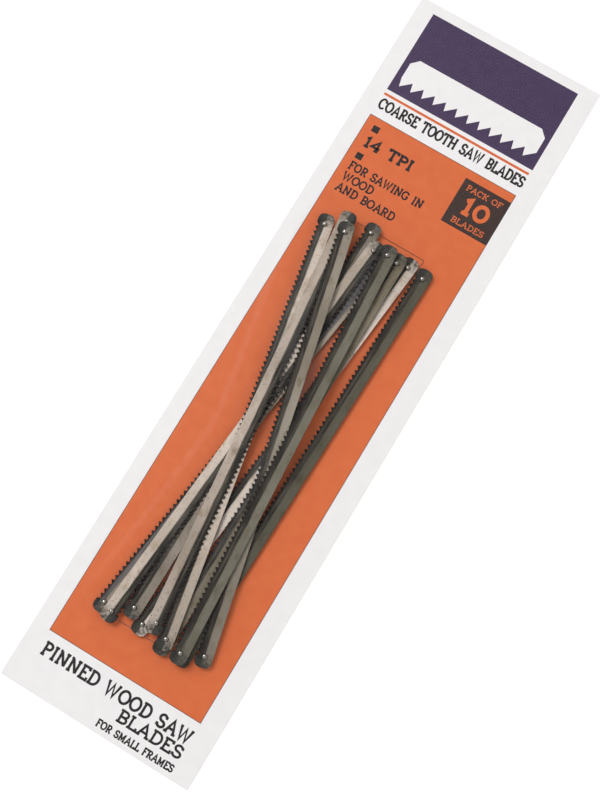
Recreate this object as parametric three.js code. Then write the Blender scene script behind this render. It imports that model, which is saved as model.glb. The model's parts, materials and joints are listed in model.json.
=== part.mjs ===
// Junior hacksaw blades for wood, skin-packed on a printed card with a die-cut door in its back.
//
// Frame: millimetres. X runs across the card, Y runs along it towards the printed header and
// Z comes out of the printed face. The origin is the middle of the card's back face.
// The blades lie on the card as a fanned bundle. Each rests on the card or on the blades laid
// before it, and a clear film, sealed to the card all round, holds them there. The door in the
// card folds back on a crease, and the blades are taken out through it.

import * as THREE from 'three';

// ---- Driving dimensions ---------------------------------------------------------------------

const cardWidth = 70;
const cardLength = 267;
const cardThickness = 0.5;

const doorHingeX = -15; // crease that the door folds on
const doorWidth = 27.4;
const doorMiddleY = -24; // the door is centred on the bundle
const doorSpare = 0.1; // how much longer the door is than a blade
const dieCut = 0.3; // width of the cut line, and of the crease

const bladeLength = 152;
const bladeWidth = 5.6; // over the tips of the teeth
const bladeThickness = 0.65;
const bladeEndDepth = 2.4; // length of the rounded end

const teethPerInch = 14;
const toothDepth = 0.9;
const toothFaceShare = 0.28; // share of the pitch taken by the steep face, the rest is its back
const toothlessEnd = 3.2; // plain edge at each end of the toothed edge

const pinDiameter = 1.6;
const pinLength = 2.8;
const pinInset = 3.7; // from the end of the blade to the pin's axis
const pinChamfer = 0.25;
const pinFit = 0.05; // radial gap between a pin and its punched hole

const restGap = 0.08; // air left between pieces that rest on each other
const sideGap = 0.15; // blades and pins closer than this in plan are stacked, not laid side by side

const filmThickness = 0.15;
const filmClearance = 0.4; // from the highest piece to the film
const filmMargin = 1.5; // from the bundle's outline to the film's upper edge
const filmSlope = 5; // run of the film from its upper edge down to the card
const filmSeal = 1.5; // least width of film sealed flat at the card's edge
const filmSides = 24;

const roundSides = 12; // sides on a pin, on its hole and on a blade's rounded end

// The blades in the order they were laid. x and y place the middle of each, lean turns its upper
// end to the left, in degrees, and teeth says which side the toothed edge is on.
const LEFT = -1;
const RIGHT = 1;
const laidBlades = [
  { x: -8.8, y: -25.8, lean: -7.55, teeth: LEFT },
  { x: 2.6, y: -25.2, lean: -5.35, teeth: LEFT },
  { x: -8.1, y: -21.7, lean: -0.75, teeth: LEFT },
  { x: 13.8, y: -26.4, lean: -1.2, teeth: LEFT },
  { x: 5.2, y: -26.6, lean: -0.25, teeth: LEFT },
  { x: -8.9, y: -26.5, lean: -4.5, teeth: RIGHT },
  { x: -8.4, y: -26.0, lean: 10.6, teeth: LEFT },
  { x: -8.1, y: -22.6, lean: 6.2, teeth: RIGHT },
  { x: 1.9, y: -25.0, lean: 12.9, teeth: LEFT },
  { x: 6.4, y: -26.3, lean: 3.75, teeth: LEFT },
];

// ---- Worked out from them -------------------------------------------------------------------

const toothPitch = 25.4 / teethPerInch;
const pinRadius = pinDiameter / 2;
const pinReach = bladeLength / 2 - pinInset; // from a blade's middle to a pin
const doorLength = bladeLength + doorSpare;

// ---- Finishes -------------------------------------------------------------------------------

const cardBoard = new THREE.MeshStandardMaterial({ color: '#f0efee', roughness: 0.55, metalness: 0 });
const doorBoard = new THREE.MeshStandardMaterial({ color: '#d57147', roughness: 0.55, metalness: 0 });
const bladeSteel = new THREE.MeshStandardMaterial({ color: '#8d8378', roughness: 0.45, metalness: 1 });
const pinSteel = new THREE.MeshStandardMaterial({ color: '#c9c7c2', roughness: 0.3, metalness: 1 });
const clearFilm = new THREE.MeshStandardMaterial({
  color: '#ffffff',
  roughness: 0.15,
  metalness: 0,
  transparent: true,
  opacity: 0.15,
});

// ---- Small helpers --------------------------------------------------------------------------

function namedMesh(name, geometry, material) {
  const mesh = new THREE.Mesh(geometry, material.clone());
  mesh.name = name;
  return mesh;
}

function plate(shape, thickness) {
  return new THREE.ExtrudeGeometry(shape, {
    depth: thickness,
    bevelEnabled: false,
    curveSegments: roundSides / 2,
  });
}

function rectangle(path, x0, y0, x1, y1) {
  path.moveTo(x0, y0);
  path.lineTo(x1, y0);
  path.lineTo(x1, y1);
  path.lineTo(x0, y1);
  path.closePath();
  return path;
}

// ---- Card and door --------------------------------------------------------------------------

// The card is one flat board. The door's opening is cut through it, and the door fills the
// opening but for the cut line.
function backingCard() {
  const halfWidth = cardWidth / 2;
  const halfLength = cardLength / 2;
  const board = rectangle(new THREE.Shape(), -halfWidth, -halfLength, halfWidth, halfLength);
  const opening = rectangle(
    new THREE.Path(),
    doorHingeX - dieCut / 2,
    doorMiddleY - doorLength / 2 - dieCut,
    doorHingeX + doorWidth + dieCut,
    doorMiddleY + doorLength / 2 + dieCut,
  );
  board.holes.push(opening);
  return plate(board, cardThickness);
}

function accessDoor() {
  const door = rectangle(
    new THREE.Shape(),
    doorHingeX + dieCut / 2,
    doorMiddleY - doorLength / 2,
    doorHingeX + doorWidth,
    doorMiddleY + doorLength / 2,
  );
  return plate(door, cardThickness);
}

// ---- Blade ----------------------------------------------------------------------------------

// A blade's outline in its own frame: its middle at the origin, its upper end towards +Y and its
// toothed edge on the +X side.
function bladeOutline() {
  const half = bladeWidth / 2;
  const straight = bladeLength / 2 - bladeEndDepth;
  const toothed = bladeLength / 2 - toothlessEnd;
  const toothCount = Math.floor((2 * toothed) / toothPitch);
  const firstTip = (toothCount * toothPitch) / 2;
  const outline = new THREE.Shape();
  const roundEnd = (end) => {
    for (let step = 1; step < roundSides; step += 1) {
      const angle = (Math.PI * step) / roundSides;
      const across = -half * Math.cos(angle) * end;
      const along = (straight + bladeEndDepth * Math.sin(angle)) * end;
      outline.lineTo(across, along);
    }
  };

  outline.moveTo(-half, -straight);
  outline.lineTo(-half, straight);
  roundEnd(1);
  outline.lineTo(half, straight);
  outline.lineTo(half, firstTip);
  for (let tooth = 1; tooth <= toothCount; tooth += 1) {
    const tip = firstTip - tooth * toothPitch;
    outline.lineTo(half - toothDepth, tip + toothPitch * toothFaceShare);
    outline.lineTo(half, tip);
  }
  outline.lineTo(half, -straight);
  roundEnd(-1);
  outline.closePath();
  return outline;
}

// The punched plate, its middle plane at z = 0. A blade with its teeth on the left is the same
// blade turned over about its length.
function bladePlate(teeth) {
  const outline = bladeOutline();
  for (const end of [1, -1]) {
    const hole = new THREE.Path();
    hole.absarc(0, end * pinReach, pinRadius + pinFit, 0, 2 * Math.PI, false);
    outline.holes.push(hole);
  }
  const blade = plate(outline, bladeThickness).translate(0, 0, -bladeThickness / 2);
  return teeth === LEFT ? blade.rotateY(Math.PI) : blade;
}

// A cross pin with chamfered ends, its axis along Z and its middle at the origin.
function crossPin() {
  const half = pinLength / 2;
  const profile = [
    new THREE.Vector2(0, -half),
    new THREE.Vector2(pinRadius - pinChamfer, -half),
    new THREE.Vector2(pinRadius, pinChamfer - half),
    new THREE.Vector2(pinRadius, half - pinChamfer),
    new THREE.Vector2(pinRadius - pinChamfer, half),
    new THREE.Vector2(0, half),
  ];
  return new THREE.LatheGeometry(profile, roundSides).rotateX(Math.PI / 2);
}

// ---- How the blades rest on each other ------------------------------------------------------

// The point at distance s from a blade's middle towards its upper end, in plan.
function pointOn(blade, s) {
  const lean = THREE.MathUtils.degToRad(blade.lean);
  return new THREE.Vector2(blade.x - s * Math.sin(lean), blade.y + s * Math.cos(lean));
}

// The place on a blade's centre line that is nearest to a point in plan.
function nearestOn(blade, point) {
  const lean = THREE.MathUtils.degToRad(blade.lean);
  const along = (point.y - blade.y) * Math.cos(lean) - (point.x - blade.x) * Math.sin(lean);
  const s = THREE.MathUtils.clamp(along, -bladeLength / 2, bladeLength / 2);
  return { s, distance: pointOn(blade, s).distanceTo(point) };
}

function heightOn(blade, s) {
  return blade.height + s * blade.slope;
}

// Everything that holds a blade up, as places s along it and the least height there.
function supportsFor(blade, below) {
  const pinPlaces = [-pinReach, pinReach];
  const plateOnPlate = bladeThickness + restGap;
  const pinOnPlate = (pinLength + bladeThickness) / 2 + restGap;
  const pinOnPin = pinLength + restGap;
  const widthReach = bladeWidth + sideGap;
  const pinReachAcross = bladeWidth / 2 + pinRadius + sideGap;
  const supports = pinPlaces.map((s) => ({ s, z: cardThickness + pinLength / 2 + restGap }));

  for (const lower of below) {
    for (let s = -bladeLength / 2; s <= bladeLength / 2; s += bladeWidth / 4) {
      const near = nearestOn(lower, pointOn(blade, s));
      if (near.distance < widthReach) supports.push({ s, z: heightOn(lower, near.s) + plateOnPlate });
    }
    for (const s of pinPlaces) {
      const pin = pointOn(blade, s);
      const near = nearestOn(lower, pin);
      if (near.distance < pinReachAcross) supports.push({ s, z: heightOn(lower, near.s) + pinOnPlate });
      for (const t of pinPlaces) {
        if (pointOn(lower, t).distanceTo(pin) < pinDiameter + sideGap) {
          supports.push({ s, z: heightOn(lower, t) + pinOnPin });
        }
      }
    }
    for (const t of pinPlaces) {
      const near = nearestOn(blade, pointOn(lower, t));
      if (near.distance < pinReachAcross) supports.push({ s: near.s, z: heightOn(lower, t) + pinOnPlate });
    }
  }
  return supports;
}

// A straight blade comes to rest on two supports, one each side of its middle: the pair that
// holds its middle highest.
function settle(blade, below) {
  const supports = supportsFor(blade, below);
  let rest = { height: -Infinity, slope: 0 };
  for (const low of supports.filter((support) => support.s < 0)) {
    for (const high of supports.filter((support) => support.s >= 0)) {
      const slope = (high.z - low.z) / (high.s - low.s);
      const height = low.z - low.s * slope;
      if (height > rest.height) rest = { height, slope };
    }
  }
  return { ...blade, ...rest };
}

// ---- Film -----------------------------------------------------------------------------------

// A ring of points around the bundle, at the given margin from its outline and inside the card.
function ringAround(blades, margin, edgeLand) {
  const corners = blades.flatMap((blade) =>
    [-1, 1].flatMap((end) =>
      [-1, 1].map((side) => {
        const lean = THREE.MathUtils.degToRad(blade.lean);
        const across = new THREE.Vector2(Math.cos(lean), Math.sin(lean));
        return pointOn(blade, (end * bladeLength) / 2).addScaledVector(across, (side * bladeWidth) / 2);
      }),
    ),
  );
  const sides = Array.from({ length: filmSides }, (_, side) => {
    const angle = (2 * Math.PI * (side + 0.5)) / filmSides;
    const normal = new THREE.Vector2(Math.cos(angle), Math.sin(angle));
    return { normal, reach: Math.max(...corners.map((corner) => corner.dot(normal))) + margin };
  });
  return sides.map((side, index) => {
    const next = sides[(index + 1) % filmSides];
    const cross = side.normal.cross(next.normal);
    const x = (side.reach * next.normal.y - next.reach * side.normal.y) / cross;
    const y = (next.reach * side.normal.x - side.reach * next.normal.x) / cross;
    return new THREE.Vector2(
      THREE.MathUtils.clamp(x, edgeLand - cardWidth / 2, cardWidth / 2 - edgeLand),
      THREE.MathUtils.clamp(y, edgeLand - cardLength / 2, cardLength / 2 - edgeLand),
    );
  });
}

// The film lies flat on the card, climbs to its upper edge around the bundle and spans it. Its
// underside and its outer face are the same sheet of triangles, a film's thickness apart.
function skinFilm(blades) {
  const topOf = (blade) => heightOn(blade, pinReach * Math.sign(blade.slope)) + pinLength / 2;
  const roof = Math.max(...blades.map(topOf)) + filmClearance;
  const edge = [
    new THREE.Vector2(-cardWidth / 2, -cardLength / 2),
    new THREE.Vector2(cardWidth / 2, -cardLength / 2),
    new THREE.Vector2(cardWidth / 2, cardLength / 2),
    new THREE.Vector2(-cardWidth / 2, cardLength / 2),
  ];
  const foot = ringAround(blades, filmMargin + filmSlope, filmSeal);
  const brow = ringAround(blades, filmMargin, 2 * filmSeal);
  const plan = [...edge, ...foot, ...brow];
  const sheet = THREE.ShapeUtils.triangulateShape(edge, [foot]);
  const footAt = (index) => edge.length + (index % filmSides);
  const browAt = (index) => edge.length + filmSides + (index % filmSides);
  for (let index = 0; index < filmSides; index += 1) {
    sheet.push([footAt(index), footAt(index + 1), browAt(index + 1)]);
    sheet.push([footAt(index), browAt(index + 1), browAt(index)]);
  }
  for (let index = 1; index < filmSides - 1; index += 1) {
    sheet.push([browAt(0), browAt(index), browAt(index + 1)]);
  }

  const heightAt = (index) => (index < edge.length + filmSides ? cardThickness : roof);
  const positions = [0, filmThickness].flatMap((lift) =>
    plan.flatMap((point, index) => [point.x, point.y, heightAt(index) + lift]),
  );
  const outer = plan.length;
  const upward = ([a, b, c]) => {
    const turn = plan[b].clone().sub(plan[a]).cross(plan[c].clone().sub(plan[a]));
    return turn > 0 ? [a, b, c] : [a, c, b];
  };
  const faces = sheet.map(upward).flatMap(([a, b, c]) => [a, c, b, a + outer, b + outer, c + outer]);
  for (let index = 0; index < edge.length; index += 1) {
    const next = (index + 1) % edge.length;
    faces.push(index, next, next + outer, index, next + outer, index + outer);
  }
  const geometry = new THREE.BufferGeometry();
  geometry.setAttribute('position', new THREE.Float32BufferAttribute(positions, 3));
  geometry.setIndex(faces);
  return geometry;
}

// ---- The pack -------------------------------------------------------------------------------

const settledBlades = [];
for (const blade of laidBlades) {
  settledBlades.push(settle(blade, settledBlades));
}

const group = new THREE.Group();
group.add(namedMesh('backing_card', backingCard(), cardBoard));
group.add(namedMesh('access_door', accessDoor(), doorBoard));

settledBlades.forEach((blade, index) => {
  const name = `blade_${String(index + 1).padStart(2, '0')}`;
  const holder = new THREE.Group();
  holder.position.set(blade.x, blade.y, blade.height);
  holder.rotation.set(Math.atan(blade.slope), 0, THREE.MathUtils.degToRad(blade.lean), 'ZXY');
  holder.add(namedMesh(name, bladePlate(blade.teeth), bladeSteel));
  for (const [place, s] of [['upper', pinReach], ['lower', -pinReach]]) {
    const pin = namedMesh(`${name}_${place}_pin`, crossPin(), pinSteel);
    pin.position.set(0, s, 0);
    holder.add(pin);
  }
  group.add(holder);
});

group.add(namedMesh('clear_film', skinFilm(settledBlades), clearFilm));

export default group;
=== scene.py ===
# %% [markdown]
# # Ten junior hacksaw blades on a skin-packed card
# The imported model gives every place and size. This lesson builds the looks around it: the printed
# board with its back door, ten toothed steel blades, their cross pins and the clear film over
# them. Lengths are in metres, so sizes in millimetres are multiplied by MM.

import json
import math

import bmesh
import bpy
import numpy as np
from mathutils import Matrix, Vector


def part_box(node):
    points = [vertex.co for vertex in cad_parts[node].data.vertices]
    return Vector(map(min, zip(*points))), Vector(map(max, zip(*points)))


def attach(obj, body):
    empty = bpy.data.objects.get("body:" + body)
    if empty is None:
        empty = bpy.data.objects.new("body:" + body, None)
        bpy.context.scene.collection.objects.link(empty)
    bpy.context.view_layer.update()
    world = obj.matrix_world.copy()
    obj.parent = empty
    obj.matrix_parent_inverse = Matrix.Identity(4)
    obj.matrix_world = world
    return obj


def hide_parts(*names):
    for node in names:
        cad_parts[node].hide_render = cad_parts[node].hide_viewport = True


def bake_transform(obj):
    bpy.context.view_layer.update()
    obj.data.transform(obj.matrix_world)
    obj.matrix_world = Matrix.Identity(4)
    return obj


MM = 0.001
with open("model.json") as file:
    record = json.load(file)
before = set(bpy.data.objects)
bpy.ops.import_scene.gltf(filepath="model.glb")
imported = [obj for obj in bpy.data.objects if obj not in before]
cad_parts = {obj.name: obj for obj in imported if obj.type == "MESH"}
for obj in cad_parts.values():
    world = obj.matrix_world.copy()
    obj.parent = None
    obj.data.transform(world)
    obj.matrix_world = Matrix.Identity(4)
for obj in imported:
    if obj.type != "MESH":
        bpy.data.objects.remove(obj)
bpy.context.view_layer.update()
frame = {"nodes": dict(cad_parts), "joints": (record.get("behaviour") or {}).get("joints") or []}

# %% [markdown]
# ## Camera, light and floor
# The card is looked at from almost straight above, turned on the table so that it runs from the
# lower left to the upper right. The eye is 430 mm above it, with a 60 mm lens on a 36 mm sensor.
# One large softbox on the left gives short soft shadows on the right of each blade, and a pale
# world fills them. The standard view keeps the printed inks as strong as they are on the board.

# %% Camera
camera_data = bpy.data.cameras.new("camera")
camera_data.sensor_width = 36
camera_data.lens = 60.0
camera_data.dof.use_dof = False
camera = bpy.data.objects.new("camera", camera_data)
bpy.context.scene.collection.objects.link(camera)
camera_right = Vector((0.85706, 0.51513, -0.00958))
camera_up = Vector((-0.50640, 0.84566, 0.16856))
camera_eye = (0.04279, -0.07028, 0.43082)
camera_turn = Matrix((camera_right, camera_up, camera_right.cross(camera_up))).transposed()
camera.matrix_world = Matrix.Translation(camera_eye) @ camera_turn.to_4x4()
bpy.context.scene.camera = camera
bpy.context.scene.view_settings.view_transform = "Standard"
print("camera height in mm:", round(camera.location.z / MM, 1))


# %% Softbox and world
def softbox(name, place, aim, width, watts):
    """A square area light at place, turned to aim."""
    light = bpy.data.lights.new(name, "AREA")
    light.shape = "SQUARE"
    light.size = width
    light.energy = watts
    lamp = bpy.data.objects.new(name, light)
    bpy.context.scene.collection.objects.link(lamp)
    lamp.location = place
    lamp.rotation_euler = (Vector(aim) - Vector(place)).to_track_quat("-Z", "Y").to_euler()
    return lamp


softbox("left_softbox", place=(-0.95, 0.25, 1.75), aim=(0, 0, 0), width=0.75, watts=18)
world = bpy.data.worlds.new("studio")
bpy.context.scene.world = world
world.use_nodes = True
world.node_tree.nodes["Background"].inputs["Color"].default_value = (1.0, 0.995, 0.985, 1.0)
world.node_tree.nodes["Background"].inputs["Strength"].default_value = 0.70
print("lights: one softbox and the world")


# %% Colours and nodes
def linear(hex_colour):
    """An sRGB hex colour as the linear RGBA that a shader wants."""
    channels = [int(hex_colour[i : i + 2], 16) / 255 for i in (1, 3, 5)]
    return tuple(c / 12.92 if c <= 0.04045 else ((c + 0.055) / 1.055) ** 2.4 for c in channels) + (1.0,)


def add(tree, kind, inputs=None, **settings):
    """Adds one node, sets its properties, and sets or links its inputs."""
    node = tree.nodes.new("ShaderNode" + kind)
    for name, value in settings.items():
        setattr(node, name, value)
    for key, value in (inputs or {}).items():
        if isinstance(value, bpy.types.NodeSocket):
            tree.links.new(value, node.inputs[key])
        else:
            node.inputs[key].default_value = value
    return node


def new_material(name):
    """A material with an empty tree but for its shader, and the object's own coordinates."""
    material = bpy.data.materials.new(name)
    material.use_nodes = True
    tree = material.node_tree
    shader = tree.nodes["Principled BSDF"]
    place = add(tree, "TexCoord").outputs["Object"]
    return material, tree, shader, place


print("middle grey as light:", round(linear("#808080")[0], 3))


# %% Floor
floor_mesh = bpy.data.meshes.new("floor")
floor_side = 6.0
floor_drop = 32 * MM  # room for the door to swing down to its stop
floor_mesh.from_pydata(
    [(x * floor_side, y * floor_side, -floor_drop) for x, y in ((-1, -1), (1, -1), (1, 1), (-1, 1))],
    [],
    [(0, 1, 2, 3)],
)
floor = bpy.data.objects.new("floor", floor_mesh)
bpy.context.scene.collection.objects.link(floor)
floor_paper, tree, shader, place = new_material("white_background_paper")
paper_grain = add(tree, "TexNoise", {"Vector": place, "Scale": 900.0, "Detail": 3.0})
paper_bump = add(tree, "Bump", {"Height": paper_grain.outputs["Fac"], "Strength": 0.05, "Distance": 0.0001})
shader.inputs["Base Color"].default_value = (0.98, 0.98, 0.98, 1.0)
shader.inputs["Roughness"].default_value = 0.9
shader.inputs["Emission Color"].default_value = (1.0, 1.0, 1.0, 1.0)
shader.inputs["Emission Strength"].default_value = 0.45
tree.links.new(paper_bump.outputs["Normal"], shader.inputs["Normal"])
floor_mesh.materials.append(floor_paper)
print("floor below the card by mm:", round(floor_drop / MM))

# %% [markdown]
# ## Board and inks
# The card is white clay-coated board, 0.5 mm thick, offset printed with an orange, a purple and a
# near black. Ink on coated board is smooth and slightly glossy, with a faint mottle where the
# coating takes it unevenly. The back is uncoated grey board, and the cut edges show its fibre.
# Each ink is its own material on its own faces, so that the edges of the print stay sharp.


# %% Inks
def printed_board(name, colour, mottle_colour, roughness, mottle_scale=260.0):
    """Board or ink on board, mottled between two colours."""
    material, tree, shader, place = new_material(name)
    mottle = add(tree, "TexNoise", {"Vector": place, "Scale": mottle_scale, "Detail": 6.0, "Roughness": 0.6})
    spread = add(tree, "MapRange", {"Value": mottle.outputs["Fac"], "From Min": 0.3, "From Max": 0.7})
    # A Mix node of colours takes its share at input 0 and its colours at 6 and 7, and gives output 2.
    tones = {0: spread.outputs["Result"], 6: linear(colour), 7: linear(mottle_colour)}
    tone = add(tree, "Mix", tones, data_type="RGBA")
    # Fibres under the coating are 20 to 40 microns wide. They are drawn at 0.35 mm to show.
    fibre = add(tree, "TexNoise", {"Vector": place, "Scale": 2800.0, "Detail": 4.0})
    bump = add(tree, "Bump", {"Height": fibre.outputs["Fac"], "Strength": 0.12, "Distance": 0.00003})
    gloss = add(
        tree,
        "MapRange",
        {"Value": fibre.outputs["Fac"], "To Min": roughness - 0.06, "To Max": roughness + 0.08},
    )
    tree.links.new(tone.outputs[2], shader.inputs["Base Color"])
    tree.links.new(gloss.outputs["Result"], shader.inputs["Roughness"])
    tree.links.new(bump.outputs["Normal"], shader.inputs["Normal"])
    shader.inputs["IOR"].default_value = 1.5
    shader.inputs["Specular IOR Level"].default_value = 0.25
    return material


white_coating = printed_board("white_clay_coated_board", "#f6f3f4", "#f1eeef", 0.5)
orange_ink = printed_board("orange_offset_ink_on_board", "#df6f3b", "#d86734", 0.46)
purple_ink = printed_board("purple_offset_ink_on_board", "#473558", "#402f51", 0.44)
black_ink = printed_board("black_offset_ink_on_board", "#241c1d", "#1e1718", 0.45)
brown_ink = printed_board("dark_brown_ink_on_board", "#3d2a25", "#372520", 0.45)
edge_fibre = printed_board("cut_board_edge", "#d9d4cc", "#bfb9b0", 0.8, 900.0)
# The dark line along the cut is partly ink crushing by the knife and partly painted shade of the narrow cut.
crushed_ink_and_cut_shade = printed_board("orange_ink_crushed_with_painted_cut_shade", "#7c3a26", "#6c3020", 0.7, 900.0)
grey_back = printed_board("uncoated_grey_board_back", "#b9b3a9", "#a39d93", 0.85, 1400.0)
inks = [white_coating, orange_ink, purple_ink, black_ink, brown_ink, edge_fibre, grey_back, crushed_ink_and_cut_shade]
WHITE, ORANGE, PURPLE, BLACK, BROWN, EDGE, BACK, CRUSHED_AND_SHADED = range(8)
print("board materials:", len(inks))

# %% [markdown]
# ## Card and door
# Both are cut from one sheet, so they are built the same way: a flat sheet divided along the
# borders of the print, with a face for each patch of ink. A steel rule pressed the die cut, so
# the sheet's top dips a little along every cut edge. The same rows of vertices make that dip.

# %% Sizes of the sheet
card_low, card_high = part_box("backing_card")
door_low, door_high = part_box("access_door")
board_top = card_high.z
die_cut = 0.3 * MM
hinge = frame["joints"][0]["pos_m"]
cut_width = 0.04 * MM  # the knife leaves a line this wide, in the middle of the CAD gap
crease_width = 0.01 * MM
door_growth = (die_cut - cut_width) / 2  # the door is this much larger than the CAD one on each cut side
door_low = Vector((hinge[0] + crease_width / 2, door_low.y - door_growth))
door_high = Vector((door_high.x + door_growth, door_high.y + door_growth))
opening_low = Vector((hinge[0] - crease_width / 2, door_low.y - cut_width))
opening_high = Vector((door_high.x + cut_width, door_high.y + cut_width))
edge_dip = 0.06 * MM
back_dip = 0.3  # share of the dip that shows on the back
edge_run = 0.22 * MM
cut_run = 0.11 * MM  # how far the ink crushing and the painted shade of the cut reach on each side of it
print("door in mm:", [round(v / MM, 2) for v in door_high - door_low])

# %% Print on the board
# Patches of ink: lowest corner and highest corner in mm, ink. A later patch lies over an earlier one.
print_patches = [
    ((-28.95, -113.99), (27.77, 87.63), BLACK),
    ((-28.77, -113.81), (27.59, 87.45), ORANGE),
    ((-28.65, 98.11), (28.13, 129.79), PURPLE),
    ((-28.65, 95.85), (27.7, 96.75), ORANGE),
    ((10.2, 67.3), (27.59, 84.5), BROWN),
    ((-25.8, 82.4), (-23.3, 84.8), BLACK),
    ((-25.8, 71.4), (-23.3, 73.8), BLACK),
]


def beside_cut(x, y):
    """Whether the point lies in the dark line of the cut: partly ink crushing, partly painted shade. The
    crease on the hinge's side was not cut.
    """
    reached = opening_low.x < x < opening_high.x + cut_run
    reached = reached and opening_low.y - cut_run < y < opening_high.y + cut_run
    clear = x < door_high.x - cut_run and door_low.y + cut_run < y < door_high.y - cut_run
    return reached and not clear


def ink_at(x, y):
    """Which material the print gives the board's front there."""
    if beside_cut(x, y):
        return CRUSHED_AND_SHADED
    found = WHITE
    for low, high, ink in print_patches:
        if low[0] * MM < x < high[0] * MM and low[1] * MM < y < high[1] * MM:
            found = ink
    return found


# %% Cut a sheet of board
def board_sheet(name, low, high, hole=None):
    """A sheet from corner low to corner high, with a rectangular opening, divided along the print."""
    xs, ys = {low[0], high[0]}, {low[1], high[1]}
    for corner_low, corner_high, _ in print_patches:
        xs |= {corner_low[0] * MM, corner_high[0] * MM}
        ys |= {corner_low[1] * MM, corner_high[1] * MM}
    run = edge_run if hole else cut_run
    xs |= {low[0] + run, high[0] - run}
    ys |= {low[1] + run, high[1] - run}
    if hole:
        xs |= {hole[0][0], hole[1][0], hole[0][0] - cut_run, hole[1][0] + cut_run}
        ys |= {hole[0][1], hole[1][1], hole[0][1] - cut_run, hole[1][1] + cut_run}
    xs = [x for x in sorted(xs) if low[0] <= x <= high[0]]
    ys = [y for y in sorted(ys) if low[1] <= y <= high[1]]

    def filled(i, j):
        if not (0 <= i < len(xs) - 1 and 0 <= j < len(ys) - 1):
            return False
        x, y = (xs[i] + xs[i + 1]) / 2, (ys[j] + ys[j + 1]) / 2
        return not (hole and hole[0][0] < x < hole[1][0] and hole[0][1] < y < hole[1][1])

    vertices, index, faces, face_inks = [], {}, [], []

    def vertex(i, j, top):
        if (i, j, top) not in index:
            cells = [filled(i + a, j + b) for a in (-1, 0) for b in (-1, 0)]
            creased = abs(xs[i] - hinge[0]) < crease_width
            dip = 0.0 if all(cells) or creased else edge_dip
            index[i, j, top] = len(vertices)
            vertices.append((xs[i], ys[j], board_top - dip if top else card_low.z + dip * back_dip))
        return index[i, j, top]

    for i in range(len(xs) - 1):
        for j in range(len(ys) - 1):
            if not filled(i, j):
                continue
            corners = [(i, j), (i + 1, j), (i + 1, j + 1), (i, j + 1)]
            faces.append([vertex(a, b, True) for a, b in corners])
            face_inks.append(ink_at((xs[i] + xs[i + 1]) / 2, (ys[j] + ys[j + 1]) / 2))
            faces.append([vertex(a, b, False) for a, b in reversed(corners)])
            face_inks.append(BACK)
            for k, (di, dj) in enumerate(((0, -1), (1, 0), (0, 1), (-1, 0))):
                if not filled(i + di, j + dj):
                    (a, b), (c, d) = corners[k], corners[(k + 1) % 4]
                    faces.append(
                        [vertex(a, b, False), vertex(c, d, False), vertex(c, d, True), vertex(a, b, True)]
                    )
                    face_inks.append(EDGE)
    mesh = bpy.data.meshes.new(name)
    mesh.from_pydata(vertices, [], faces)
    for ink in inks:
        mesh.materials.append(ink)
    mesh.polygons.foreach_set("material_index", face_inks)
    sheet = bpy.data.objects.new(name, mesh)
    bpy.context.scene.collection.objects.link(sheet)
    print(name, "faces:", len(faces))
    return sheet


# %% Card and door from the same sheet
opening = (tuple(opening_low), tuple(opening_high))
card = board_sheet("printed_card", card_low.xy, card_high.xy, opening)
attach(card, "pack")
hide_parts("backing_card")
door = board_sheet("back_door_board", door_low, door_high)
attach(door, "door")
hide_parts("access_door")

# %% [markdown]
# ## Crease
# The knife did not cut the door's left side. There the board is only creased, and its bottom
# layer bends as the door swings back. So the crease is a thin flat strip that starts inside the card
# and ends inside the door.

# %% Strip of board across the crease
crease_half = 0.4 * MM
crease_bottom = 0.02 * MM
crease_top = 0.09 * MM
crease_columns = 9
work = bmesh.new()
loops = []
for y in (door_low.y + cut_run, door_high.y - cut_run):
    lower, upper = [], []
    for column in range(crease_columns):
        x = hinge[0] + crease_half * (2 * column / (crease_columns - 1) - 1)
        lower.append(work.verts.new((x, y, crease_bottom)))
        upper.append(work.verts.new((x, y, crease_top)))
    loops.append(lower + upper[::-1])
for k in range(len(loops[0])):
    n = (k + 1) % len(loops[0])
    work.faces.new((loops[0][k], loops[0][n], loops[1][n], loops[1][k]))
for loop in loops:
    for k in range(crease_columns - 1):
        work.faces.new((loop[k], loop[k + 1], loop[-k - 2], loop[-k - 1]))
bmesh.ops.recalc_face_normals(work, faces=work.faces)
crease_mesh = bpy.data.meshes.new("crease_strip")
work.to_mesh(crease_mesh)
work.free()
crease_mesh.materials.append(grey_back)
crease = bpy.data.objects.new("crease_strip", crease_mesh)
bpy.context.scene.collection.objects.link(crease)
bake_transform(crease)
print("crease strip in mm:", [round(v / MM, 2) for v in crease.dimensions])

# %% [markdown]
# ## Lettering
# The words are plain and generic, and say what any such card says: how many blades, how many teeth
# to the inch, and what they cut. They are set in a slab-serif letter, as on a workshop label. A
# font file is not needed for twenty letters: each is a few strokes of even width, with a short
# slab across the stroke's end. Each lies on the board like a heavy film of ink, as a thin solid.


# %% Strokes of each letter
def arc(x, y, wide, tall, start, stop, steps=12):
    """Points on part of an ellipse, from one angle to another in degrees."""
    turns = [math.radians(start + (stop - start) * k / steps) for k in range(steps + 1)]
    return [(x + wide * math.cos(a), y + tall * math.sin(a)) for a in turns]


def slab(x, y, left=0.17, right=0.17):
    """A short stroke across the end of another."""
    return [(x - left, y), (x + right, y)]


# %% The letters
stem = [(0.17, 0), (0.17, 1)]
bowl = [(0.0, 1), (0.42, 1)] + arc(0.42, 0.745, 0.27, 0.255, 90, -90)[1:] + [(0.17, 0.49)]
round_c = arc(0.46, 0.5, 0.42, 0.5, 42, 318, 20)
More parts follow.
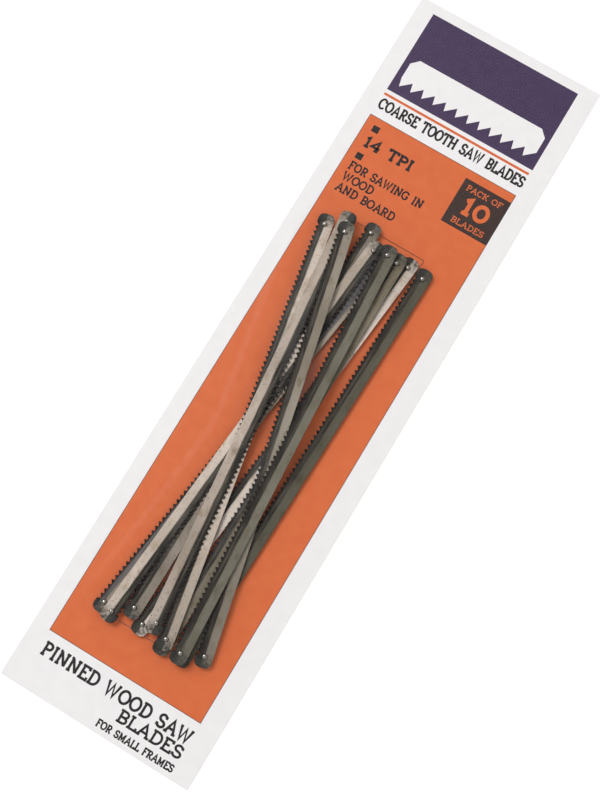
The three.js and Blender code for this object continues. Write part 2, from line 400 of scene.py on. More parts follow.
# Each letter is its width and its strokes, in shares of its height.
glyphs = {
    "A": (0.95, [[(0.1, 0), (0.47, 1), (0.84, 0)], [(0.22, 0.32), (0.72, 0.32)],
                 slab(0.1, 0), slab(0.84, 0)]),
    "B": (0.78, [stem, bowl,
                 [(0.17, 0.49), (0.42, 0.49)] + arc(0.42, 0.245, 0.3, 0.245, 90, -90)[1:] + [(0, 0)]]),
    "C": (0.88, [round_c, [(0.79, 0.68), (0.79, 0.98)]]),
    "D": (0.88, [stem, [(0, 1), (0.4, 1)] + arc(0.4, 0.5, 0.42, 0.5, 90, -90)[1:] + [(0, 0)]]),
    "E": (0.78, [stem, [(0, 1), (0.7, 1), (0.7, 0.78)], [(0.17, 0.52), (0.54, 0.52)],
                 [(0, 0), (0.74, 0), (0.74, 0.24)]]),
    "F": (0.74, [stem, [(0, 1), (0.7, 1), (0.7, 0.78)], [(0.17, 0.52), (0.54, 0.52)], slab(0.17, 0)]),
    "G": (0.95, [round_c, [(0.79, 0.7), (0.79, 0.98)], [(0.56, 0.42), (0.92, 0.42)],
                 [(0.8, 0.42), (0.8, 0.06)]]),
    "H": (1.0, [stem, [(0.79, 0), (0.79, 1)], [(0.17, 0.5), (0.79, 0.5)],
                slab(0.17, 0), slab(0.17, 1), slab(0.79, 0), slab(0.79, 1)]),
    "I": (0.42, [[(0.2, 0), (0.2, 1)], slab(0.2, 0), slab(0.2, 1)]),
    "K": (0.92, [stem, [(0.17, 0.38), (0.74, 1)], [(0.38, 0.6), (0.78, 0)],
                 slab(0.17, 0), slab(0.17, 1), slab(0.74, 1, 0.12, 0.12), slab(0.78, 0, 0.12, 0.12)]),
    "L": (0.74, [stem, slab(0.17, 1), [(0, 0), (0.7, 0), (0.7, 0.26)]]),
    "M": (1.12, [stem, [(0.17, 1), (0.54, 0.2), (0.91, 1)], [(0.91, 0), (0.91, 1)],
                 slab(0.17, 0), slab(0.91, 0), slab(0.1, 1, 0.1, 0.05), slab(0.98, 1, 0.05, 0.1)]),
    "N": (1.0, [stem, [(0.17, 1), (0.79, 0)], [(0.79, 0), (0.79, 1)],
                slab(0.17, 0), slab(0.79, 1), slab(0.1, 1, 0.1, 0.1)]),
    "O": (0.95, [arc(0.46, 0.5, 0.42, 0.5, 0, 360, 24)]),
    "P": (0.76, [stem, bowl, slab(0.17, 0)]),
    "R": (0.86, [stem, bowl, [(0.4, 0.49), (0.7, 0)], slab(0.17, 0), slab(0.74, 0, 0.08, 0.1)]),
    "S": (0.74, [arc(0.36, 0.745, 0.27, 0.255, 25, 270, 14)[:-1] + arc(0.36, 0.245, 0.3, 0.245, 90, -155, 14),
                 [(0.62, 0.74), (0.62, 0.98)], [(0.06, 0.02), (0.06, 0.28)]]),
    "T": (0.84, [[(0.41, 0), (0.41, 1)], [(0.03, 0.76), (0.03, 1), (0.79, 1), (0.79, 0.76)], slab(0.41, 0)]),
    "W": (1.25, [[(0.1, 1), (0.35, 0), (0.6, 0.95), (0.85, 0), (1.1, 1)],
                 slab(0.1, 1, 0.12, 0.12), slab(1.1, 1, 0.12, 0.12)]),
    "0": (0.8, [arc(0.37, 0.5, 0.32, 0.5, 0, 360, 24)]),
    "1": (0.56, [[(0.3, 0), (0.3, 1), (0.08, 0.82)], slab(0.3, 0, 0.2, 0.2)]),
    "4": (0.84, [[(0.54, 0), (0.54, 1), (0.04, 0.3), (0.76, 0.3)], slab(0.54, 0)]),
    " ": (0.5, []),
}
print("letters:", len(glyphs))


# %% Letters cut as thin solids
ink_film = 0.02 * MM
ink_key = 0.01 * MM  # how far the ink soaks into the board
stroke_step = 0.0015 * MM
letter_gap = 0.1  # share of the letters' height
sharpest_mitre = 0.45  # cosine that a corner's mitre stops growing at


def ribbon(work, points, half, low_z, top_z):
    """A flat ribbon along the points, with mitred corners and square ends, as a closed solid."""
    looped = math.dist(points[0], points[-1]) < 1e-9
    points = [Vector(p) for p in (points[:-1] if looped else points)]
    count = len(points)
    rows = []
    for k, point in enumerate(points):
        before = points[k - 1] if looped or k > 0 else None
        after = points[(k + 1) % count] if looped or k < count - 1 else None
        steps = [d.normalized() for d in (before and point - before, after and after - point) if d]
        along = (steps[0] + steps[-1]).normalized()
        normal = Vector((-along.y, along.x))
        mitre = half / max(sharpest_mitre, along.dot(steps[0]))
        left, right = point + normal * mitre, point - normal * mitre
        section = ((left, top_z), (right, top_z), (right, low_z), (left, low_z))
        rows.append([work.verts.new((p.x, p.y, z)) for p, z in section])
    pairs = list(zip(rows, rows[1:] + rows[:1])) if looped else list(zip(rows, rows[1:]))
    for first, second in pairs:
        for k in range(4):
            n = (k + 1) % 4
            work.faces.new((first[k], second[k], second[n], first[n]))
    if not looped:
        work.faces.new(rows[0])
        work.faces.new(tuple(reversed(rows[-1])))


# %% A line of words
def lettering(name, words, left, right, base, cap_height, material, weight=0.088):
    """Words whose box is left to right, with capitals cap_height tall on the line base, all in mm."""
    advance = [glyphs[letter][0] + letter_gap for letter in words]
    stretch = (right - left) / (sum(advance) - letter_gap)
    half = weight * cap_height
    work = bmesh.new()
    pen = left
    for letter, step in zip(words, advance):
        for k, stroke in enumerate(glyphs[letter][1]):
            rise = cap_height - 2 * half
            points = [((pen + x * stretch) * MM, (base + half + y * rise) * MM) for x, y in stroke]
            # Where strokes cross, each lies a touch higher than the last, so no two faces coincide.
            ribbon(work, points, half * MM, board_top - ink_key, board_top + ink_film + k * stroke_step)
        pen += step * stretch
    bmesh.ops.recalc_face_normals(work, faces=work.faces)
    mesh = bpy.data.meshes.new(name)
    work.to_mesh(mesh)
    work.free()
    mesh.materials.append(material)
    letters = bpy.data.objects.new(name, mesh)
    bpy.context.scene.collection.objects.link(letters)
    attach(letters, "pack")
    print(name, "faces:", len(mesh.polygons))
    return letters


# %% Words on the card
lettering("slogan_letters", "COARSE TOOTH SAW BLADES", -28.2, 27.8, 90.6, 4.3, black_ink, 0.085)
lettering("tooth_count_letters", "14 TPI", -25.7, -7.2, 76.3, 4.3, black_ink, 0.105)
lettering("use_letters_1", "FOR SAWING IN", -25.8, 2.5, 66.9, 3.3, black_ink)
lettering("use_letters_2", "WOOD", -25.8, -14.2, 62.6, 3.3, black_ink)
lettering("use_letters_3", "AND BOARD", -25.8, -3.5, 58.3, 3.3, black_ink)
lettering("label_letters_1", "PACK OF", 12.2, 25.6, 80.7, 2.2, orange_ink, 0.075)
lettering("label_number", "10", 14.0, 23.8, 72.6, 6.6, orange_ink, 0.11)
lettering("label_letters_2", "BLADES", 13.0, 25.2, 68.7, 2.2, orange_ink, 0.075)
lettering("title_letters_1", "PINNED WOOD SAW", -27.5, 27.7, -121.9, 4.9, black_ink)
lettering("title_letters_2", "BLADES", 4.2, 27.7, -127.1, 4.5, black_ink)
lettering("note_letters", "FOR SMALL FRAMES", -0.5, 27.7, -131.6, 2.7, black_ink, 0.1)

# %% [markdown]
# A white band with a toothed lower edge stands in the purple header, as a plain sign for a saw.


# %% Toothed band in the header
def flat_sign(name, outline, material):
    """A thin solid of ink with that outline, a list of points in mm, anticlockwise."""
    work = bmesh.new()
    bottom = [work.verts.new((x * MM, y * MM, board_top - ink_key)) for x, y in outline]
    face = work.faces.new(bottom)
    raised = bmesh.ops.extrude_face_region(work, geom=[face])["geom"]
    for item in raised:
        if isinstance(item, bmesh.types.BMVert):
            item.co.z += ink_film + ink_key
    bmesh.ops.recalc_face_normals(work, faces=work.faces)
    mesh = bpy.data.meshes.new(name)
    work.to_mesh(mesh)
    work.free()
    mesh.materials.append(material)
    sign = bpy.data.objects.new(name, mesh)
    bpy.context.scene.collection.objects.link(sign)
    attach(sign, "pack")
    return sign


band_left, band_right, band_top, band_root, band_tip = -26.4, 26.2, 112.6, 104.2, 101.0
band_teeth = 12
band_corner = 2.5
band_steep = 0.18  # share of the pitch taken by a tooth's steep face
band_outline = [(band_right, band_root), (band_right, band_top - band_corner)]
band_outline += [(band_right - band_corner, band_top), (band_left + band_corner, band_top)]
band_outline += [(band_left, band_top - band_corner), (band_left, band_root)]
for tooth in range(band_teeth):
    start = band_left + (band_right - band_left) * tooth / band_teeth
    pitch = (band_right - band_left) / band_teeth
    band_outline.append((start + pitch * band_steep, band_tip))
    if tooth < band_teeth - 1:
        band_outline.append((start + pitch, band_root))
flat_sign("header_toothed_band", band_outline, white_coating)
print("points round the toothed band:", len(band_outline))

# %% [markdown]
# ## Blades
# Each blade is cold-rolled carbon steel strip, punched, toothed and hardened along the teeth. The
# teeth are milled, so their gullets are round, and every second one is set to the other side.
# A plain extrusion would give sharp straight notches with no set. Here the outline is written out
# point by point, with a small rolled edge all round, and the tips are then leaned out in turn.

# %% Sizes of a blade
blade_length = 152 * MM
blade_half_width = 2.8 * MM
blade_half_thickness = 0.325 * MM
blade_end_depth = 2.4 * MM
tooth_pitch = 25.4 / 14 * MM
tooth_count = 80
tooth_root = 1.9 * MM
tooth_line = 1.7 * MM  # where the toothed strip starts
tooth_set = 0.07 * MM
tooth_flat = 0.08 * MM  # run from the first and the last tip to the plain edge
gullet_middle = 0.45  # share of the pitch where one tooth ends and the next begins
end_steps = 16
end_squareness = 0.78  # 1 would be an ellipse
rolled_edge = 0.05 * MM
pin_radius = 0.8 * MM
pin_half_length = 1.4 * MM
hole_radius = 0.85 * MM
hole_sides = 24
pin_reach = 72.3 * MM
# One tooth from its tip up the steep face, round the gullet and along the back of the next tip:
# share of the pitch, and how far across the blade, in mm.
tooth_profile = [
    (0.00, 2.80), (0.04, 2.76), (0.13, 2.42), (0.20, 2.12), (0.26, 1.95), (0.32, 1.90),
    (0.40, 1.92), (0.50, 2.03), (0.64, 2.25), (0.80, 2.52), (0.95, 2.75),
]
print("teeth on a blade:", tooth_count)


# %% A blade's outline
def rounded_end(share):
    """How far across and along a rounded end is, from one side at share 0 to the other at 1."""
    angle = math.pi * share
    across = math.copysign(abs(math.cos(angle)) ** end_squareness, math.cos(angle))
    return blade_half_width * across, blade_end_depth * math.sin(angle) ** end_squareness


def blade_outline():
    """Points from the lower end up the back, round the upper end and down the teeth.

    Each is x, y, and which tooth it belongs to, or -1.
    """
    straight = blade_length / 2 - blade_end_depth
    points = [(-blade_half_width, -straight, -1), (-blade_half_width, straight, -1)]
    for step in range(1, end_steps + 1):
        across, along = rounded_end(step / end_steps)
        points.append((-across, straight + along, -1))
    first_tip = tooth_count * tooth_pitch / 2
    points.append((blade_half_width, first_tip + tooth_flat, -1))
    for tooth in range(tooth_count, 0, -1):
        tip = -first_tip + tooth * tooth_pitch
        points.append((blade_half_width, tip, tooth))
        for share, across in reversed(tooth_profile[1:]):
            along = tip - tooth_pitch + share * tooth_pitch
            points.append((across * MM, along, tooth if share > gullet_middle else tooth - 1))
    points.append((blade_half_width, -first_tip, 0))
    points.append((blade_half_width, -first_tip - tooth_flat, -1))
    for step in range(end_steps):
        across, along = rounded_end(step / end_steps)
        points.append((across, -straight - along, -1))
    return points


outline = blade_outline()
print("points round a blade:", len(outline))


# %% Rolled edge and set of the teeth
def inset(points, distance):
    """The outline moved inwards, each point along the mean of its two edges' normals."""
    flat = np.array([(x, y) for x, y, _ in points])
    before, after = np.roll(flat, 1, 0), np.roll(flat, -1, 0)

    def normal(a, b):
        d = b - a
        d /= np.linalg.norm(d, axis=1)[:, None]
        return np.stack([d[:, 1], -d[:, 0]], 1)

    mean = normal(before, flat) + normal(flat, after)
    mean /= np.maximum(np.linalg.norm(mean, axis=1), 0.5)[:, None]
    return flat + mean * distance


def lean(x, tooth):
    """How far up or down a point of a tooth is set, most at its tip."""
    if tooth < 0 or x < tooth_root:
        return 0.0
    way = 1 if tooth % 2 else -1
    return way * tooth_set * (x - tooth_root) / (blade_half_width - tooth_root)


# %% A blade's mesh
def blade_mesh(name):
    """A blade in its own place: rings round its rolled edge, then its two faces with their holes."""
    work = bmesh.new()
    inner = inset(outline, rolled_edge)
    face_z, edge_z = blade_half_thickness, blade_half_thickness - rolled_edge
    rings = []
    for z, flat in ((face_z, inner), (edge_z, outline), (-edge_z, outline), (-face_z, inner)):
        rings.append([work.verts.new((p[0], p[1], z + lean(q[0], q[2]))) for p, q in zip(flat, outline)])
    count = len(outline)
    for upper, lower in zip(rings, rings[1:]):
        for k in range(count):
            n = (k + 1) % count
            work.faces.new((upper[k], upper[n], lower[n], lower[k]))
    toothed = [k for k in range(count) if outline[k][2] >= 0]
    first, last = toothed[0] - 1, toothed[-1] + 1
    holes = []
    # The toothed strip is filled with quads up to a straight line, and the rest round the holes.
    for ring, z, up in ((rings[0], face_z, True), (rings[3], -face_z, False)):
        line = [work.verts.new((tooth_line, ring[k].co.y, z)) for k in range(first, last + 1)]
        for m, k in enumerate(range(first, last)):
            quad = (ring[k], line[m], line[m + 1], ring[k + 1])
            work.faces.new(quad if up else tuple(reversed(quad)))
        loop = [ring[k] for k in range(last, count)] + [ring[k] for k in range(0, first + 1)] + line
        edges = []
        for a, b in zip(loop, loop[1:] + loop[:1]):
            edges.append(work.edges.get((a, b)) or work.edges.new((a, b)))
        for pin_y in (pin_reach, -pin_reach):
            circle = []
            for step in range(hole_sides):
                angle = 2 * math.pi * step / hole_sides
                x, y = hole_radius * math.cos(angle), pin_y + hole_radius * math.sin(angle)
                circle.append(work.verts.new((x, y, z)))
            for a, b in zip(circle, circle[1:] + circle[:1]):
                edges.append(work.edges.new((a, b)))
            holes.append(circle)
        bmesh.ops.triangle_fill(work, edges=edges, use_beauty=False, use_dissolve=False)
    for upper, lower in ((holes[0], holes[2]), (holes[1], holes[3])):
        for k in range(hole_sides):
            n = (k + 1) % hole_sides
            work.faces.new((upper[n], upper[k], lower[k], lower[n]))
    bmesh.ops.recalc_face_normals(work, faces=work.faces)
    mesh = bpy.data.meshes.new(name)
    work.to_mesh(mesh)
    open_edges = sum(1 for edge in work.edges if len(edge.link_faces) != 2)
    work.free()
    print(name, "faces:", len(mesh.polygons), "open edges:", open_edges)
    return mesh


blade_shape = blade_mesh("toothed_blade")

# %% [markdown]
# ## Steel
# Hardened strip keeps a grey, faintly brown skin: pale and warm on the back, nearly black in the
# band beside the teeth where it was heated, and blue-grey at the ends. Rolling leaves fine lines
# along it, and handling leaves stains and dark specks. Each blade has its own stains, and its own
# tone, which also holds painted reflection of how brightly that blade mirrors the light at its lean.
# A dark strip along the tooth roots is painted shade, and a slow change of tone along each blade is
# painted reflection.


# %% Where a blade was heated
def heated_places(tree, here, parts, band_shift, band_drift):
    """How much of the heat's skin each place has, beside the teeth and then at the ends.

    It also gives how far each place is from the blade's middle, along it.
    """
    # Both borders wander by about a third of a millimetre.
    wander = add(tree, "TexNoise", {"Vector": here, "Scale": 130.0, "Detail": 3.0})
    border = add(
        tree, "MapRange", {"Value": wander.outputs["Fac"], "To Min": -0.3 * MM, "To Max": 0.3 * MM}
    )
    drift = add(
        tree, "Math", {0: parts.outputs["Y"], 1: band_drift, 2: parts.outputs["X"]}, operation="MULTIPLY_ADD"
    )
    wandered = add(tree, "Math", {0: drift.outputs[0], 1: border.outputs["Result"]}, operation="ADD")
    across = add(tree, "Math", {0: wandered.outputs[0], 1: band_shift}, operation="ADD")
    band = add(tree, "MapRange", {"Value": across.outputs[0], "From Min": -0.2 * MM, "From Max": 0.2 * MM})
    # The ends went blue-grey over the last few millimetres.
    length = add(tree, "Math", {0: parts.outputs["Y"]}, operation="ABSOLUTE")
    end_border = add(tree, "Math", {0: length.outputs[0], 1: border.outputs["Result"]}, operation="ADD")
    ends = add(
        tree, "MapRange", {"Value": end_border.outputs[0], "From Min": 71.0 * MM, "From Max": 74.5 * MM}
    )
    return band.outputs["Result"], ends.outputs["Result"], length.outputs[0]


# %% Colour of a blade's back
def pale_back(tree, here, pale):
    """Colour of the back of a blade, and how much of it is stain."""
    # The tone changes slowly along the blade: painted reflection, brighter in places and dimmer in others, of
    # a strip that is not quite flat.
    slow = add(tree, "TexNoise", {"Vector": here, "Scale": 34.0, "Detail": 2.0})
    reflection_share = add(tree, "MapRange", {"Value": slow.outputs["Fac"], "From Min": 0.3, "From Max": 0.7})
    tone = linear(pale)
    dim_reflection_tone = tuple(c * k for c, k in zip(tone[:3], (0.60, 0.59, 0.55))) + (1.0,)
    brown = tuple(c * k for c, k in zip(tone[:3], (0.50, 0.40, 0.24))) + (1.0,)
    back = add(tree, "Mix", {0: reflection_share.outputs["Result"], 6: tone, 7: dim_reflection_tone}, data_type="RGBA")
    # Stains are 3 to 8 mm long patches of brown oxide.
    stretched = add(tree, "Mapping", {"Vector": here, "Scale": (1.0, 0.45, 1.0)})
    stain = add(
        tree,
        "TexNoise",
        {"Vector": stretched.outputs[0], "Scale": 330.0, "Detail": 6.0, "Roughness": 0.65},
    )
    stained = add(tree, "MapRange", {"Value": stain.outputs["Fac"], "From Min": 0.52, "From Max": 0.74})
    share = add(tree, "Math", {0: stained.outputs["Result"], 1: 0.6}, operation="MULTIPLY")
    colour = add(tree, "Mix", {0: share.outputs[0], 6: back.outputs[2], 7: brown}, data_type="RGBA")
    return colour.outputs[2], share.outputs[0]


# %% Colour of the heated band
def heated_skin(tree, here, parts, skin):
    """Colour of the band beside the teeth: streaks of the two skin tones, and painted shade along the tooth
    roots.
    """
    streak_place = add(tree, "Mapping", {"Vector": here, "Scale": (1.0, 0.06, 1.0)})
    streaks = add(tree, "TexNoise", {"Vector": streak_place.outputs[0], "Scale": 1700.0, "Detail": 3.0})
    streaked = add(tree, "MapRange", {"Value": streaks.outputs["Fac"], "From Min": 0.4, "From Max": 0.66})
    tones = {0: streaked.outputs["Result"], 6: linear(skin[0]), 7: linear(skin[1])}
    streaky = add(tree, "Mix", tones, data_type="RGBA")
    # A dark strip just inside the tooth roots is painted shade of the gullets.
    root_shade_share = add(
        tree, "MapRange", {"Value": parts.outputs["X"], "From Min": 1.3 * MM, "From Max": 1.75 * MM}
    )
    root_shade = {0: root_shade_share.outputs["Result"], 6: streaky.outputs[2], 7: linear("#211d1a")}
    return add(tree, "Mix", root_shade, data_type="RGBA").outputs[2]


# %% Hardened carbon steel
def hardened_steel(name, pale, seed, band_shift=0.0, band_drift=0.0, skin=("#282521", "#4a443c")):
    """Steel with that pale tone and a heated band of those two skin tones.

    The band is band_shift wider than the usual one, and widens upwards by band_drift.
    """
    material, tree, shader, place = new_material(name)
    # Each blade takes its pattern from another part of the noise.
    away = (seed * 0.37, seed * 0.91, seed * 0.53)
    shifted = add(tree, "VectorMath", {0: place, 1: away}, operation="ADD")
    here = shifted.outputs[0]
    parts = add(tree, "SeparateXYZ", {0: place})
    band, ends, length = heated_places(tree, here, parts, band_shift, band_drift)
    back_colour, stain_share = pale_back(tree, here, pale)
    skins = {0: band, 6: back_colour, 7: heated_skin(tree, here, parts, skin)}
    with_band = add(tree, "Mix", skins, data_type="RGBA")
    # The skin at the ends is blotched.
    blotches = add(tree, "TexNoise", {"Vector": here, "Scale": 900.0, "Detail": 4.0, "Roughness": 0.7})
    blotched = add(
        tree,
        "MapRange",
        {
            "Value": blotches.outputs["Fac"],
            "From Min": 0.42,
            "From Max": 0.58,
            "To Min": 0.35,
            "To Max": 0.95,
        },
    )
    end_share = add(tree, "Math", {0: ends, 1: blotched.outputs["Result"]}, operation="MULTIPLY")
    end_tones = {0: end_share.outputs[0], 6: with_band.outputs[2], 7: linear("#3b3b38")}
    with_ends = add(tree, "Mix", end_tones, data_type="RGBA")
    # Specks are pits under half a millimetre wide. They are faint along the blade, and thick at the
    # ends, where it was held in the heat.
    pits = add(tree, "TexNoise", {"Vector": here, "Scale": 2100.0, "Detail": 3.0})
    pitted = add(tree, "MapRange", {"Value": pits.outputs["Fac"], "From Min": 0.58, "From Max": 0.68})
    pit_depth = add(
        tree,
        "MapRange",
        {"Value": length, "From Min": 66 * MM, "From Max": 73 * MM, "To Min": 0.38, "To Max": 0.9},
    )
    pit_inputs = {0: pitted.outputs["Result"], 1: pit_depth.outputs["Result"]}
    pit_share = add(tree, "Math", pit_inputs, operation="MULTIPLY")
    pit_tones = {0: pit_share.outputs[0], 6: with_ends.outputs[2], 7: linear("#1d1815")}
    colour = add(tree, "Mix", pit_tones, data_type="RGBA")
    # Rolling lines run along the blade. Real ones are finer, and these are 0.15 mm apart to show.
    lines_place = add(tree, "Mapping", {"Vector": here, "Scale": (1.0, 0.02, 1.0)})
    lines = add(tree, "TexNoise", {"Vector": lines_place.outputs[0], "Scale": 6500.0, "Detail": 3.0})
    gloss = add(tree, "MapRange", {"Value": lines.outputs["Fac"], "To Min": 0.30, "To Max": 0.52})
    rougher = add(tree, "Math", {0: gloss.outputs["Result"], 1: stain_share}, operation="ADD")
    rough = add(
        tree,
        "MapRange",
        {"Value": rougher.outputs[0], "From Max": 1.3, "To Min": 0.25, "To Max": 0.75},
    )
    bump = add(tree, "Bump", {"Height": lines.outputs["Fac"], "Strength": 0.25, "Distance": 0.00002})
    pit_relief = {"Height": pitted.outputs["Result"], "Strength": 0.4, "Distance": 0.00003}
    pit_bump = add(tree, "Bump", {**pit_relief, "Normal": bump.outputs["Normal"]}, invert=True)
    tree.links.new(colour.outputs[2], shader.inputs["Base Color"])
    tree.links.new(rough.outputs["Result"], shader.inputs["Roughness"])
    tree.links.new(pit_bump.outputs["Normal"], shader.inputs["Normal"])
    shader.inputs["Metallic"].default_value = 0.9
    return material


# %% Tones of the ten blades
# The pale tone of each blade's back, from the card up. Each also holds painted reflection: how brightly that
# blade mirrors the light at its own lean.
blade_tones_with_painted_reflection = [
    "#978b7d", "#d6c9c0", "#8a8076", "#5a564a", "#7c7363",
    "#c3b6ab", "#b8ab9f", "#aea196", "#90877b", "#747064",
]

# The lowest blade has a band of its own, wider than the others' and dark grey: how much wider it
# is, how it widens upwards, and its two tones.
own_bands = {1: (0.9 * MM, 0.015, ("#4f4b4b", "#625c5b"))}
print("steel tones:", len(blade_tones_with_painted_reflection))

# %% [markdown]
# ## Cross pins
# A pin is a short length of steel wire pressed through each end of a blade. It was cropped and
# tumbled, so its ends are low domes that catch one bright highlight each.


# %% Bright steel wire
def bright_wire():
    """Drawn and tumbled steel wire: bright, with fine scuffs."""
    material, tree, shader, place = new_material("bright_drawn_steel_wire")
    scuffs = add(tree, "TexNoise", {"Vector": place, "Scale": 2600.0, "Detail": 4.0})
    tones = {0: scuffs.outputs["Fac"], 6: linear("#bdb8b0"), 7: linear("#6b665f")}
    tone = add(tree, "Mix", tones, data_type="RGBA")
    gloss = add(tree, "MapRange", {"Value": scuffs.outputs["Fac"], "To Min": 0.12, "To Max": 0.26})
    bump = add(tree, "Bump", {"Height": scuffs.outputs["Fac"], "Strength": 0.2, "Distance": 0.00002})
    tree.links.new(tone.outputs[2], shader.inputs["Base Color"])
    tree.links.new(gloss.outputs["Result"], shader.inputs["Roughness"])
    tree.links.new(bump.outputs["Normal"], shader.inputs["Normal"])
    shader.inputs["Metallic"].default_value = 1.0
    return material


wire = bright_wire()
print("pins:", wire.name)


# %% A pin's mesh
def pin_mesh():
    """A short wire along Z with a low dome at each end, turned from the dome's radii and heights in mm."""
    dome = [(0.0, 1.40), (0.22, 1.385), (0.42, 1.34), (0.58, 1.26), (0.70, 1.15), (0.77, 1.02), (0.80, 0.88)]
    profile = dome + [(r, -z) for r, z in reversed(dome)]
    sides = 28
    vertices, faces, rings = [], [], []
    for r, z in profile:
        if r == 0.0:
            rings.append([len(vertices)] * sides)
            vertices.append((0, 0, z * MM))
            continue
        rings.append(list(range(len(vertices), len(vertices) + sides)))
        for k in range(sides):
            angle = 2 * math.pi * k / sides
            vertices.append((r * MM * math.cos(angle), r * MM * math.sin(angle), z * MM))
    for upper, lower in zip(rings, rings[1:]):
        for k in range(sides):
            n = (k + 1) % sides
            corners = [upper[k], lower[k], lower[n], upper[n]]
            faces.append(list(dict.fromkeys(corners)))
    mesh = bpy.data.meshes.new("cross_pin")
    mesh.from_pydata(vertices, [], faces)
    mesh.polygons.foreach_set("use_smooth", [True] * len(mesh.polygons))
    mesh.materials.append(wire)
    return mesh


pin_shape = pin_mesh()
print("faces on a pin:", len(pin_shape.polygons))

# %% [markdown]
# ## Laying the blades
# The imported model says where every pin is. The line from the lower pin to the upper one is the
# blade's length, and the side with most of the CAD blade's corners is its toothed side.


# %% Where a blade lies
def middle(node):
    """The middle of a node's box."""
    low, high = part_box(node)
    return (low + high) / 2


def blade_place(number):
    """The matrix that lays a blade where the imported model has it, teeth towards its own +X."""
    upper = middle(f"blade_{number:02d}_upper_pin")
    lower = middle(f"blade_{number:02d}_lower_pin")
    along = (upper - lower).normalized()
    across = along.cross(Vector((0, 0, 1))).normalized()
    centre = (upper + lower) / 2
    corners = frame["nodes"][f"blade_{number:02d}"].data.vertices
    sides = [(corner.co - centre).dot(across) for corner in corners]
    if sum(1 for s in sides if s > tooth_line) < sum(1 for s in sides if s < -tooth_line):
        across = -across
    turn = Matrix((across, along, across.cross(along))).transposed().to_4x4()
    return Matrix.Translation(centre) @ turn


# %% Blades and pins
blade_places = {}
for number, tone in enumerate(blade_tones_with_painted_reflection, 1):
    name = f"blade_{number:02d}"
    place = blade_place(number)
    blade_places[number] = place
    mesh = blade_shape.copy()
    steel = hardened_steel(f"hardened_carbon_steel_{number:02d}", tone, number, *own_bands.get(number, ()))
    mesh.materials.append(steel)
    blade = bpy.data.objects.new(f"{name}_toothed_strip", mesh)
    bpy.context.scene.collection.objects.link(blade)
    blade.matrix_world = place
    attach(blade, "pack")
    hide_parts(name)
    for end, way in (("upper", 1), ("lower", -1)):
        pin = bpy.data.objects.new(f"{name}_{end}_wire_pin", pin_shape)
        bpy.context.scene.collection.objects.link(pin)
        pin.matrix_world = place @ Matrix.Translation((0, way * pin_reach, 0))
        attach(pin, "pack")
        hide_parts(f"{name}_{end}_pin")
print("blades laid:", len(blade_places))

# %% [markdown]
# ## Skin film
# The film was heated until limp and sucked down over the blades onto the coated board. It hangs
# from the tops of the blades and comes down to the card beside them. A cloth simulation would
# give the same shape slowly. A film pulled tight everywhere is the lowest smooth surface above
# what it covers, so a grid of heights that is averaged and kept above the blades finds it fast.

# %% Heights under the film
film_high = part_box("clear_film")[1]
film_cell = 0.9 * MM
film_wall = 0.08 * MM
film_air = 0.16 * MM
film_lift = 0.03 * MM  # over the ink
film_spare = film_cell * 1.1  # how far past each piece the film is still held up
columns = int(round((card_high.x - card_low.x) / film_cell)) + 1
rows = int(round((card_high.y - card_low.y) / film_cell)) + 1
grid_x, grid_y = np.meshgrid(
    np.linspace(card_low.x, card_high.x, columns), np.linspace(card_low.y, card_high.y, rows), indexing="ij"
)
flat_height = board_top + ink_film + film_lift
under = np.full(grid_x.shape, flat_height)
for place in blade_places.values():
    back = np.array(place.inverted())
    level = place.translation.z
    local_x = back[0, 0] * grid_x + back[0, 1] * grid_y + back[0, 2] * level + back[0, 3]
    local_y = back[1, 0] * grid_x + back[1, 1] * grid_y + back[1, 2] * level + back[1, 3]
    rise = place[2][1]
    top = level + local_y * rise + blade_half_thickness + film_air
    within = abs(local_x) < blade_half_width + film_spare
    on_blade = within & (abs(local_y) < blade_length / 2 + film_spare)
    under = np.where(on_blade, np.maximum(under, top), under)
    for way in (1, -1):
        near = np.hypot(local_x, local_y - way * pin_reach) < pin_radius + film_spare
        pin_top = level + way * pin_reach * rise + pin_half_length + film_air
        under = np.where(near, np.maximum(under, pin_top), under)
print("highest point under the film in mm:", round(float(under.max()) / MM, 2))

# %% Pull the film down
film_z = np.full(under.shape, film_high.z - film_wall)
film_z[[0, -1], :] = flat_height
film_z[:, [0, -1]] = flat_height
suction = 0.02 * MM
pulls = 900
for _ in range(pulls):
    mean = film_z.copy()
    mean[1:-1, 1:-1] = (
        film_z[2:, 1:-1] + film_z[:-2, 1:-1] + film_z[1:-1, 2:] + film_z[1:-1, :-2]
    ) / 4 - suction
    film_z = np.clip(np.maximum(mean, under), flat_height, film_high.z - film_wall)
print("film reaches in mm:", round(float(film_z.max()) / MM, 2))


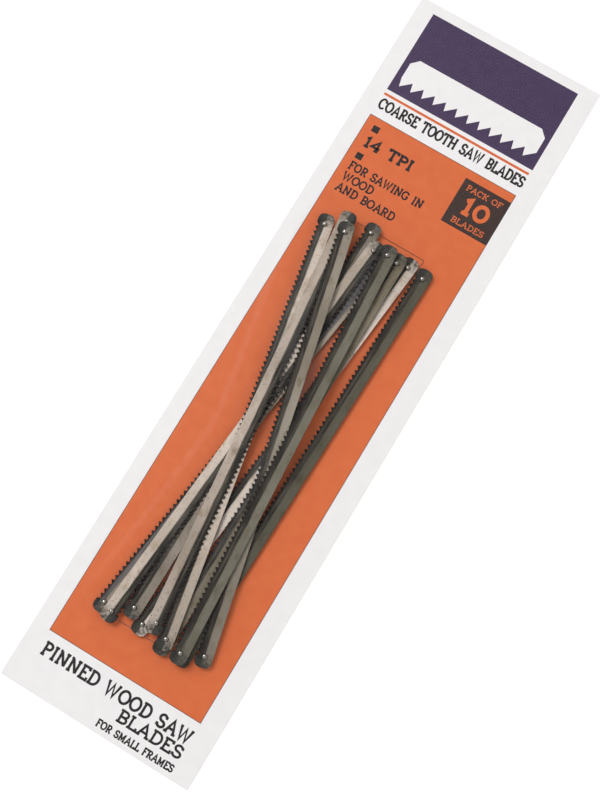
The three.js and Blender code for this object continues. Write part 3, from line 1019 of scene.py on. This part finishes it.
# %% Film as a closed sheet
def film_mesh():
    """The grid of heights as a sheet film_wall thick, closed round its rim."""
    vertices, faces = [], []
    for lift in (film_wall, 0.0):
        for i in range(columns):
            for j in range(rows):
                vertices.append((grid_x[i, j], grid_y[i, j], film_z[i, j] + lift))
    below = columns * rows
    for i in range(columns - 1):
        for j in range(rows - 1):
            a, b = i * rows + j, (i + 1) * rows + j
            c, d = b + 1, a + 1
            faces.append((a, b, c, d))
            faces.append((d + below, c + below, b + below, a + below))
    rim = [(i * rows) for i in range(columns)]
    rim += [(columns - 1) * rows + j for j in range(1, rows)]
    rim += [i * rows + rows - 1 for i in range(columns - 2, -1, -1)]
    rim += [j for j in range(rows - 2, 0, -1)]
    for a, b in zip(rim, rim[1:] + rim[:1]):
        faces.append((a + below, b + below, b, a))
    mesh = bpy.data.meshes.new("skin_film")
    mesh.from_pydata(vertices, [], faces)
    mesh.polygons.foreach_set("use_smooth", [True] * len(mesh.polygons))
    return mesh


# %% Clear film
def clear_film_material():
    """Clear ionomer skin film, about 0.1 mm thick, glossy and almost unseen from above."""
    material, tree, shader, place = new_material("clear_ionomer_skin_film")
    ripple = add(tree, "TexNoise", {"Vector": place, "Scale": 160.0, "Detail": 2.0})
    bump = add(tree, "Bump", {"Height": ripple.outputs["Fac"], "Strength": 0.3, "Distance": 0.0002})
    gloss = add(tree, "MapRange", {"Value": ripple.outputs["Fac"], "To Min": 0.14, "To Max": 0.26})
    tree.links.new(bump.outputs["Normal"], shader.inputs["Normal"])
    tree.links.new(gloss.outputs["Result"], shader.inputs["Roughness"])
    shader.inputs["Base Color"].default_value = linear("#54585b")
    shader.inputs["IOR"].default_value = 1.5
    shader.inputs["Specular IOR Level"].default_value = 0.5
    shader.inputs["Alpha"].default_value = 0.03
    return material


# %% Lay the film
film_shape = film_mesh()
film_shape.materials.append(clear_film_material())
film = bpy.data.objects.new("clear_skin_film", film_shape)
bpy.context.scene.collection.objects.link(film)
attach(film, "pack")
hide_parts("clear_film")
print("faces on the film:", len(film_shape.polygons))
